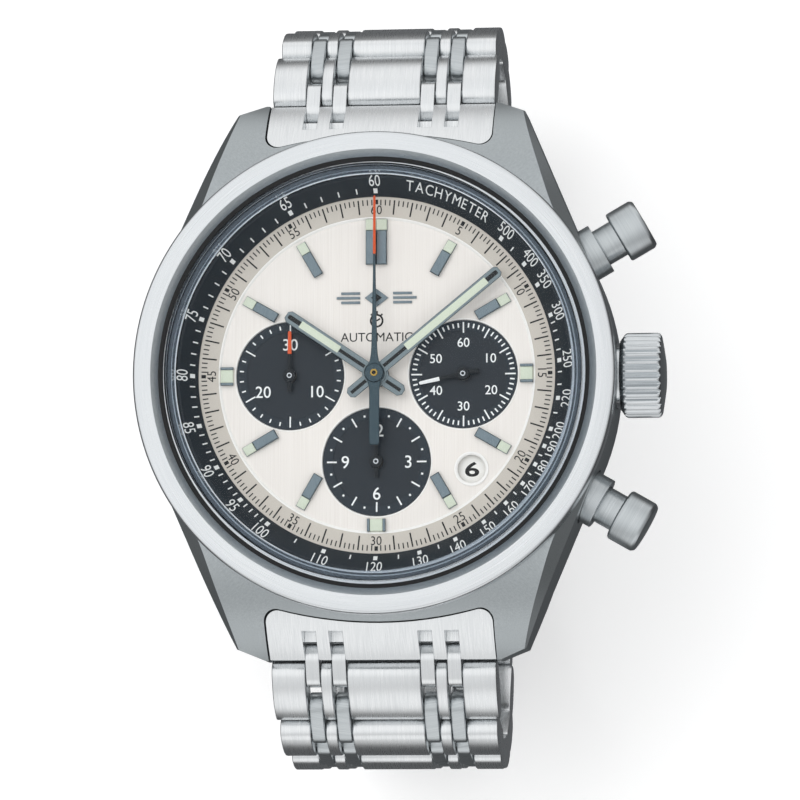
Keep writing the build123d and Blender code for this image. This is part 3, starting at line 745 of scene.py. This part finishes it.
def build_markers():
    steel, lume = [], []
    top = box("hour_markers")[1].z
    for hour in (1, 2, 4, 5, 7, 8, 10, 11):
        angle = 30 * hour
        steel.append(dialled(marker_block(-0.44, 0.44, 10.1, 12.32, top - 0.02), angle))
        lume.append(dialled(slab(-0.4, 0.4, 12.34, 13.32, DIAL_Z, top - 0.1, 0.05, 2), angle))
        steel.append(dialled(slab(-0.44, 0.44, 12.3, 13.36, DIAL_Z, top - 0.3, 0.02), angle))
    for mid in (-0.47, 0.47):
        steel.append(marker_block(mid - 0.45, mid + 0.45, 9.65, 12.66, top + 0.02))
        lume.append(slab(mid - 0.45, mid + 0.45, 12.68, 13.62, DIAL_Z, top - 0.06, 0.04, 2))
    steel.append(slab(-0.95, 0.95, 12.62, 13.66, DIAL_Z, top - 0.28, 0.02))
    for hour in (3, 6, 9):
        angle = 30 * hour
        for side in (-1, 1):
            low, high = sorted((0.56 * side, 0.8 * side))
            steel.append(dialled(slab(low, high, 12.55, 13.65, DIAL_Z, top - 0.04, 0.04), angle))
        lume.append(dialled(slab(-0.57, 0.57, 12.57, 13.63, DIAL_Z, top - 0.12, 0.05, 2), angle))
    piece("applied_markers", joined(steel), MARKER_GREY, "case", ("hour_markers",))
    piece("marker_inserts", joined(lume), LUME, "case", ("marker_lume",))


def ring_print(radius, width, centre, surface):
    """A printed ring."""
    inner, outer = radius - width / 2, radius + width / 2
    z0, z1 = sink(surface(*centre), 0), sink(surface(*centre), 1)
    return lathe([(inner, z0), (outer, z0), (outer, z1), (inner, z1)], 48, centre)


def build_emblem():
    """A plain lozenge between bars where a maker would sign, a stopwatch sign and a generic word."""
    mid = 6.75

    def lozenge(half_wide, half_high):
        return [(0.0, mid - half_high), (half_wide, mid), (0.0, mid + half_high), (-half_wide, mid)]

    shapes = [prism(lozenge(1.05, 0.8), DIAL_Z - 0.02, DIAL_Z + 0.16, 0.06)]
    for side in (-1, 1):
        for y in (6.28, 6.68, 7.08):
            low, high = sorted((1.45 * side, (3.5 - abs(y - 6.68)) * side))
            shapes.append(slab(low, high, y - 0.04, y + 0.18, DIAL_Z - 0.02, DIAL_Z + 0.14, 0.04, 2))
    piece("dial_emblem", joined(shapes), MARKER_GREY, "case", ())
    core = prism(lozenge(0.48, 0.35), DIAL_Z + 0.1, DIAL_Z + 0.175, 0.01)
    piece("dial_emblem_core", core, INLAY_BLACK, "case")
    plain = flat(DIAL_Z)
    centre = (0.0, 4.75)
    sign = [ring_print(0.52, 0.16, centre, plain), tick(0.6, 0.86, 0.2, 0, plain, centre),
            tick(0.6, 0.78, 0.14, 40, plain, centre), tick(0.6, 0.78, 0.14, -40, plain, centre),
            tick(0.0, 0.36, 0.13, 60, plain, centre)]
    text, height, length = "AUTOMATIC", 0.76, 6.3
    wide = length / (2 * max(p[0] for p in lettering(text)[0]) * height / CAP)
    sign.append(word(text, height, upright(0, 3.32), plain, wide))
    piece("dial_print", joined(sign), PRINT_BLACK, "case")


DAY_SHOWN = 6


def build_dial():
    paint_node("dial_plate", DIAL)
    low, high = box("date_frame")
    centre = ((low.x + high.x) / 2, (low.y + high.y) / 2)
    piece("date_window_rim", lathe(softened([
        (1.22, DIAL_Z - 0.3), (1.3, DIAL_Z - 0.3), (1.34, DIAL_Z - 0.05), (1.5, DIAL_Z - 0.03),
        (1.5, DIAL_Z + 0.1, 0.03), (1.4, DIAL_Z + 0.12, 0.03), (1.22, DIAL_Z + 0.01, 0.03)], 0.02),
        128, centre), CREAM_AND_PAINTED_HIGHLIGHT, "case", ("date_frame",))
    paint_node("date_disc", DATE_WHITE)
    disc_top = flat(box("date_disc")[1].z)
    window = radial(hypot(*centre), 135)(0, 0)
    numbers = []
    for day in range(1, 32):
        drawn = word(str(day), 1.18, upright(*window), disc_top, 1.55 if day < 10 else 0.9, 0.02)
        numbers.append(turned(drawn, -(day - DAY_SHOWN) * 360 / 31))
    piece("date_print", joined(numbers), PRINT_BLACK, "date_disc")


# ---------------------------------------------------------------- hands
def hand_bar(stations, low, high, ridge):
    """A hand along +Y: (y, half width) stations, with a ridge above its two facets."""
    points, faces = [], []
    for y, half in stations:
        points += [(-half, y, low), (-half, y, high), (0, y, ridge), (half, y, high), (half, y, low)]
    for index in range(len(stations) - 1):
        for k in range(5):
            m = (k + 1) % 5
            faces.append((index * 5 + k, index * 5 + m, index * 5 + 5 + m, index * 5 + 5 + k))
    last = 5 * (len(stations) - 1)
    faces += [(4, 3, 2, 1, 0), tuple(last + k for k in range(5))]
    return points, faces


def build_baton(name, tail, length, width, lume_span, stub_end, hub):
    """A grey bar from -tail to length, grooved between its hub and its luminous strip."""
    angle = pointing(name, Vector((0, 0, 0)))
    low = box(name)[1].z - 0.18
    ridge, half, seat = low + 0.2, width / 2, low + 0.1
    inlay = ridge + 0.012
    bar = prism([
        (half * 0.45, -tail), (half, 0.3 - tail), (half, length - 0.3), (0.3, length), (-0.3, length),
        (-half, length - 0.3), (-half, 0.3 - tail), (-half * 0.45, -tail)], low, ridge, 0.04, 1)
    top = lathe(softened([(0, low), (hub, low), (hub, low + 0.24), (0, low + 0.24)], 0.05), 96)
    piece(f"{name}_steel", joined([dialled(bar, angle), top]), HAND_GREY, name, (name,), 12)
    groove = [
        slab(-0.15, 0.15, hub - 0.05, lume_span[0], seat, inlay, 0.01),
        slab(-0.15, 0.15, 0.3 - tail, 0.05 - hub, seat, inlay, 0.01),
        prism([(-0.2, lume_span[1]), (0.2, lume_span[1]), (0.2, stub_end - 0.25), (0.12, stub_end - 0.12),
               (-0.12, stub_end - 0.12), (-0.2, stub_end - 0.25)], seat, inlay, 0.01)]
    piece(f"{name}_groove", joined([dialled(s, angle) for s in groove]), INLAY_BLACK, name)
    fill = slab(-0.33, 0.33, *lume_span, seat, ridge + 0.03, 0.05, 2)
    piece(f"{name}_lume", dialled(fill, angle), LUME, name, ())


def build_chrono_needle():
    name = "chrono_seconds_hand"
    angle = pointing(name, Vector((0, 0, 0)))
    low = 10.1
    shoulder = [(0.9 * sin(radians(t)), -0.9 * cos(radians(t))) for t in range(42, 142, 9)]
    right = [(0.33, -6.25), (0.44, -6.05), (0.44, -1.5), (0.5, -1.05)] + shoulder + [
        (0.4, 1.05), (0.3, 1.6), (0.25, 2.4), (0.19, 5.0), (0.12, 8.5), (0.105, 10.42)]
    body = prism(right + [(-x, y) for x, y in reversed(right)], low, low + 0.17, 0.035, 1)
    hub = lathe(softened([
        (0, low), (0.84, low), (0.84, low + 0.2, 0.03), (0.78, low + 0.34, 0.04), (0, low + 0.34)], 0.03), 96)
    needle = joined([dialled(body, angle), hub])
    piece("chrono_needle", needle, NEEDLE_GREY, name, (name,), 12)
    tip = hand_bar([(10.38, 0.12), (15.4, 0.1), (15.5, 0.06)], low, low + 0.12, low + 0.18)
    piece("chrono_needle_tip", dialled(tip, angle), ORANGE, name, ())
    pin = lathe(softened([
        (0.17, low + 0.3), (0.32, low + 0.3), (0.32, low + 0.5, 0.06), (0.17, low + 0.5)], 0.02), 64)
    piece("chrono_hub_ring", pin, BRASS, name, ())
    core = lathe(softened([
        (0, low + 0.3), (0.18, low + 0.3), (0.18, low + 0.42), (0, low + 0.44)], 0.02), 48)
    piece("chrono_hub_core", core, INLAY_BLACK, name)


def build_counter_hand(name, joint, far, paint):
    """A small black hand whose end, from the radius far, is lacquered."""
    centre = joint_at(joint)
    angle = pointing(name, centre)
    low = box(name)[1].z - 0.27
    near = hand_bar([(-1.4, 0.2), (far, 0.16), (far + 0.01, 0.155)], low, low + 0.07, low + 0.13)
    hub = lathe(softened([
        (0, low - 0.05), (0.55, low - 0.05), (0.55, low + 0.2, 0.08), (0, low + 0.2)], 0.04), 64)
    piece(f"{name}_body", joined([dialled(near, angle, centre.xy), dialled(hub, 0, centre.xy)]),
          HAND_BLACK, name, (name,), 12)
    cap = lathe(softened([
        (0.13, low + 0.15), (0.24, low + 0.15), (0.24, low + 0.27, 0.04), (0.13, low + 0.27)], 0.02), 48)
    piece(f"{name}_cap", dialled(cap, 0, centre.xy), POLISH, name, ())
    end = hand_bar([(far, 0.17), (3.8, 0.14), (3.9, 0.08)], low, low + 0.09, low + 0.145)
    piece(f"{name}_tip", dialled(end, angle, centre.xy), paint, name, ())


def build_hands():
    build_baton("hour_hand", 2.95, 9.4, 1.1, (3.8, 7.9), 9.3, 1.15)
    build_baton("minute_hand", 2.95, 14.05, 1.05, (3.5, 12.6), 13.92, 1.0)
    build_chrono_needle()
    build_counter_hand("small_seconds_hand", "small_seconds_turn", 2.1, WHITE_TIP)
    build_counter_hand("minute_counter_hand", "minute_counter_turn", 1.9, ORANGE)
    build_counter_hand("hour_counter_hand", "hour_counter_turn", 1.9, WHITE_TIP)


# ---------------------------------------------------------------- crown and pushers
def build_crown():
    """A knob of (x, radius, share of a flute's full depth) sections, and its stem."""
    high = box("crown")[1]
    height = joint_at("crown_turn").z
    outer, radius = high.x, high.z - height
    start, flutes, per_flute, depth = 21.1, 30, 12, 0.42
    sections = [
        (start, 2.96, 0.0), (start, 3.05, 0.0), (start + 0.38, 3.58, 0.2), (start + 0.5, radius - 0.04, 0.9),
        (start + 0.62, radius, 1.0), (24.35, radius, 1.0), (24.5, radius - 0.05, 0.85),
        (24.62, radius - 0.16, 0.4), (24.7, radius - 0.34, 0.0), (24.76, 3.0, 0.0), (24.85, 2.5, 0.0),
        (outer - 0.03, 1.4, 0.0), (outer, 0.6, 0.0), (outer, 0.0, 0.0)]
    points, faces = [], []
    count = flutes * per_flute
    for x, r, share in sections:
        for index in range(count):
            turn = 2 * pi * index / count
            wave = (0.5 + 0.5 * cos(flutes * turn)) ** 1.1
            here = r - depth * share * wave
            points.append((x, here * cos(turn), height + here * sin(turn)))
    for ring in range(len(sections) - 1):
        for k in range(count):
            m = (k + 1) % count
            faces.append((ring * count + k, ring * count + m, (ring + 1) * count + m, (ring + 1) * count + k))
    faces.append(tuple(range(count)))
    stem = along_x(lathe(softened([
        (0, 18.7), (1.2, 18.7), (1.2, 20.2), (1.0, 20.25), (1.0, 20.95), (1.2, 21.0), (1.2, 21.62),
        (0, 21.62)], 0.04), 64), height)
    knob = joined([(points, faces), stem])
    piece("crown_knob", knob, CROWN_STEEL, "crown", ("crown",), 40)


def build_pushers():
    for name in ("pusher_upper", "pusher_lower"):
        low, high = box(name)
        height = (low.z + high.z) / 2
        push = JOINTS[f"{name}_press"]["axis"]
        angle = degrees(atan2(-push[1], -push[0]))
        head = lathe(softened([
            (0, 19.6), (1.66, 19.6), (1.66, 24.15), (2.22, 24.15, 0.06), (2.34, 24.3, 0.08),
            (2.34, 26.5, 0.12), (2.12, 26.8, 0.1), (0, 26.85)], 0.04, 3), 128)
        piece(f"{name}_button", turned(along_x(head, height), angle), SATIN, name, (name,))


# ---------------------------------------------------------------- bracelet
ROW_CORE, ROW_R = 3.52, 1.25         # between the two pins of a row, and round each of them
PITCH, LINK_R = 6.2, 1.18            # the same for a connector: its far pin, and round it
CONNECTOR_X, CONNECTOR_W, SLOT_W = (3.9, 6.25), 1.2, 1.35
PIN_R = 0.5
SOFT = 0.14                          # rounding of bars and connectors


def arc(centre, radius, start, end, steps):
    out = []
    for step in range(steps + 1):
        turn = radians(start + (end - start) * step / steps)
        out.append((centre + radius * cos(turn), radius * sin(turn)))
    return out


def crest():
    """The barrel top of a bracelet piece, from its far end back to the near one."""
    steps = 12
    half, low, high = ROW_CORE / 2 + 0.85, 0.9, 1.55
    rise = high - low
    radius = (half ** 2 + rise ** 2) / (2 * rise)
    out = []
    for step in range(1, steps):
        u = half * (1 - 2 * step / steps)
        out.append((ROW_CORE / 2 + u, high - radius + sqrt(radius ** 2 - u ** 2)))
    return out


BAR_OUTLINE = arc(ROW_CORE, ROW_R, -90, 47, 8) + crest() + arc(0.0, ROW_R, 133, 270, 8)
LINK_OUTLINE = arc(PITCH, LINK_R, -90, 90, 10) + arc(ROW_CORE, LINK_R, 90, 270, 10)


def row_columns(width):
    """Where the five bars of a row start and end across the bracelet."""
    half = SLOT_W / 2
    inner, outer = CONNECTOR_X
    right = [(inner + half, outer - half), (outer + half, width / 2)]
    return [(-b, -a) for a, b in right] + [(-inner + half, inner - half)] + right


def build_row(node, side, index, start, end, mirror):
    """Five brushed bars, four connectors and two pins, laid from one pin towards the next."""
    along = Vector((0, end.y - start.y, end.z - start.z)).normalized()
    out = Vector((0, -along.z, along.y))

    def lay(p):
        spot = start + along * p[0] + out * p[1]
        return (p[2], mirror * spot.y, spot.z)

    width = box(node)[1].x * 2
    bars = [moved(prism(BAR_OUTLINE, a, b, SOFT, 3), lay) for a, b in row_columns(width)]
    piece(f"row_{side}_{index}", joined(bars), BRUSH_ROW, node, (node,))
    columns = [CONNECTOR_X[1]] if node == "link_6_7" else CONNECTOR_X
    small = []
    for x in [sign * column for column in columns for sign in (-1, 1)]:
        half = CONNECTOR_W / 2
        small.append(moved(prism(LINK_OUTLINE, x - half, x + half, SOFT, 3), lay))
    for reach in (0.0, ROW_CORE):
        rod = prism(arc(reach, PIN_R, 0, 337.5, 15), 0.03 - width / 2, width / 2 - 0.03, 0.06, 2)
        small.append(moved(rod, lay))
    piece(f"connectors_{side}_{index}", joined(small), SATIN, node, ())


def build_bracelet():
    rows = range(1, 8)
    pins = [joint_at(f"link_12_{index}_fold") for index in rows] + [joint_at("clasp_cover_fold")]
    for side, mirror in (("12", 1), ("6", -1)):
        for index in rows:
            build_row(f"link_{side}_{index}", side, index, pins[index - 1], pins[index], mirror)
    for side in ("12", "6"):
        cad_copy(f"end_piece_{side}", f"end_link_{side}", BRUSH_ROW, "case", 0.1)
    cad_copy("clasp_lid", "clasp_cover", BRUSH_ROW, "clasp_cover", 0.12)
    cad_copy("clasp_middle", "clasp_middle_blade", BRUSH_ROW, "clasp_middle_blade", 0.06)
    cad_copy("clasp_inner", "clasp_inner_blade", BRUSH_ROW, "clasp_inner_blade", 0.06)
    for side in ("left", "right"):
        name = f"clasp_button_{side}"
        cad_copy(f"clasp_push_{side}", name, POLISH, name, 0.1)


# ---------------------------------------------------------------- movement
def paint_node(name, paint):
    data = frame["nodes"][name].data
    data.materials.clear()
    data.materials.append(paint)


def build_movement():
    cad_copy("rotor_weight", "rotor", NICKEL, "rotor", 0.05)
    cad_copy("bridge_set", "bridges", NICKEL, "case", 0.05)
    cad_copy("base_plate", "main_plate", PERLAGE, "case", 0.04)
    cad_copy("bridge_screw_set", "bridge_screws", BLUED, "case", 0.03)
    cad_copy("rotor_hub", "rotor_bearing", POLISH, "case", 0.05)
    cad_copy("balance", "balance_wheel", BRASS, "balance_wheel", 0.03)
    cad_copy("holder_ring", "movement_holder", NYLON, "case", 0.05)
    cad_copy("stem", "winding_stem", BLUED, "crown", 0.02)
    cad_copy("stem_seal", "crown_gasket", RUBBER, "crown_gasket", 0.02)


build_case()
build_rings()
build_counters()
build_markers()
build_emblem()
build_dial()
build_hands()
build_crown()
build_pushers()
build_bracelet()
build_movement()


# ---------------------------------------------------------------- studio
def build_floor():
    """A pale floor half a millimetre under the bracelet, faintly lit from within like a light table."""
    level = CAD_BOX[0].z - 0.5 * MM
    reach = 3
    data = bpy.data.meshes.new("studio_floor")
    corners = [(-reach, -reach, level), (reach, -reach, level), (reach, reach, level), (-reach, reach, level)]
    data.from_pydata(corners, [], [(0, 1, 2, 3)])
    floor = bpy.data.objects.new("studio_floor", data)
    SCENE.collection.objects.link(floor)
    paint = Paint("floor_pale")
    grain = paint.noise(paint.stretch(40, 40, 40), 1.0, 2.0)
    paint.put(Base_Color=paint.mix(grain, (0.93, 0.93, 0.93, 1), (0.9, 0.9, 0.9, 1)), Roughness=0.8,
              Emission_Color=(1, 1, 1, 1), Emission_Strength=0.22)
    data.materials.append(paint.material)
    floor.visible_glossy = False


def build_world():
    """A white tent, dark below and on the crown side, with a pale card beyond each bracelet end."""
    world = bpy.data.worlds.new("studio")
    world.use_nodes = True
    SCENE.world = world
    tree = world.node_tree

    def maths(operation, a, b=0.0):
        return add_node(tree, "ShaderNodeMath", {0: a, 1: b}, operation=operation).outputs[0]

    def fade(value, start, end, low, high):
        return add_node(tree, "ShaderNodeMapRange", {
            "Value": value, "From Min": start, "From Max": end, "To Min": low, "To Max": high}).outputs[0]

    place = add_node(tree, "ShaderNodeTexCoord").outputs["Generated"]
    x, y, z = add_node(tree, "ShaderNodeSeparateXYZ", {0: place}).outputs
    height = maths("ADD", maths("MULTIPLY", z, 0.5), 0.5)
    ramp = add_node(tree, "ShaderNodeValToRGB", {0: height})
    stops = ramp.color_ramp.elements
    stops[0].position, stops[0].color = 0.0, (0.1, 0.105, 0.11, 1)
    stops[1].position, stops[1].color = 1.0, (1, 1, 1, 1)
    for position, level in ((0.4, 0.1), (0.49, 0.2), (0.56, 0.6), (0.7, 0.85), (0.9, 0.97)):
        stops.new(position).color = (level, level * 1.005, level * 1.01, 1)
    share = maths("MULTIPLY", fade(x, 0.1, 0.95, 1.0, 0.58), fade(y, -0.95, -0.2, 0.6, 1.0))
    tent = add_node(tree, "ShaderNodeVectorMath", {0: ramp.outputs[0], "Scale": share}, operation="SCALE")
    ends = fade(maths("ABSOLUTE", y), 0.55, 0.9, 0.0, 0.95)
    cards = maths("MULTIPLY", ends, fade(z, -0.5, -0.12, 0.0, 1.0))
    whole = add_node(tree, "ShaderNodeVectorMath", {0: tent.outputs[0], 1: cards}, operation="MAXIMUM")
    tree.links.new(whole.outputs[0], tree.nodes["Background"].inputs["Color"])
    tree.nodes["Background"].inputs["Strength"].default_value = 1.06


def build_lights():
    """Two soft lamps that light paint and print but leave steel to the tent."""
    for name, spot, size, power in (
            ("key", (-0.35, 0.3, 0.75), (0.7, 0.7), 2.3),
            ("fill", (0.6, -0.2, 0.5), (0.5, 0.7), 1.2)):
        data = bpy.data.lights.new(name, "AREA")
        data.shape = "RECTANGLE"
        data.size, data.size_y = size
        data.energy = power
        lamp = bpy.data.objects.new(name, data)
        lamp.location = spot
        lamp.rotation_euler = (-Vector(spot)).to_track_quat("-Z", "Y").to_euler()
        lamp.visible_glossy = False
        SCENE.collection.objects.link(lamp)


def build_camera():
    """Nearly straight on, a little from the crown side and from below, with twelve up."""
    aside, below, distance = 6.3, 6.0, 0.45
    back = Vector((tan(radians(aside)), -tan(radians(below)), 1.0)).normalized()
    right = Vector((0, 1, 0)).cross(back).normalized()
    up = back.cross(right)
    aim = (Vector((0, 0, RIM_Z)) + right * 2.40 - up * 2.52) * MM
    data = bpy.data.cameras.new("camera")
    data.lens = 234.6
    data.sensor_width = 36.0
    data.clip_start, data.clip_end = 0.01, 20.0
    camera = bpy.data.objects.new("camera", data)
    turn = Matrix((right, up, back)).transposed().to_4x4()
    camera.matrix_world = Matrix.Translation(aim + back * distance) @ turn
    SCENE.collection.objects.link(camera)
    SCENE.camera = camera


build_floor()
build_world()
build_lights()
build_camera()
SCENE.view_settings.view_transform = "Standard"
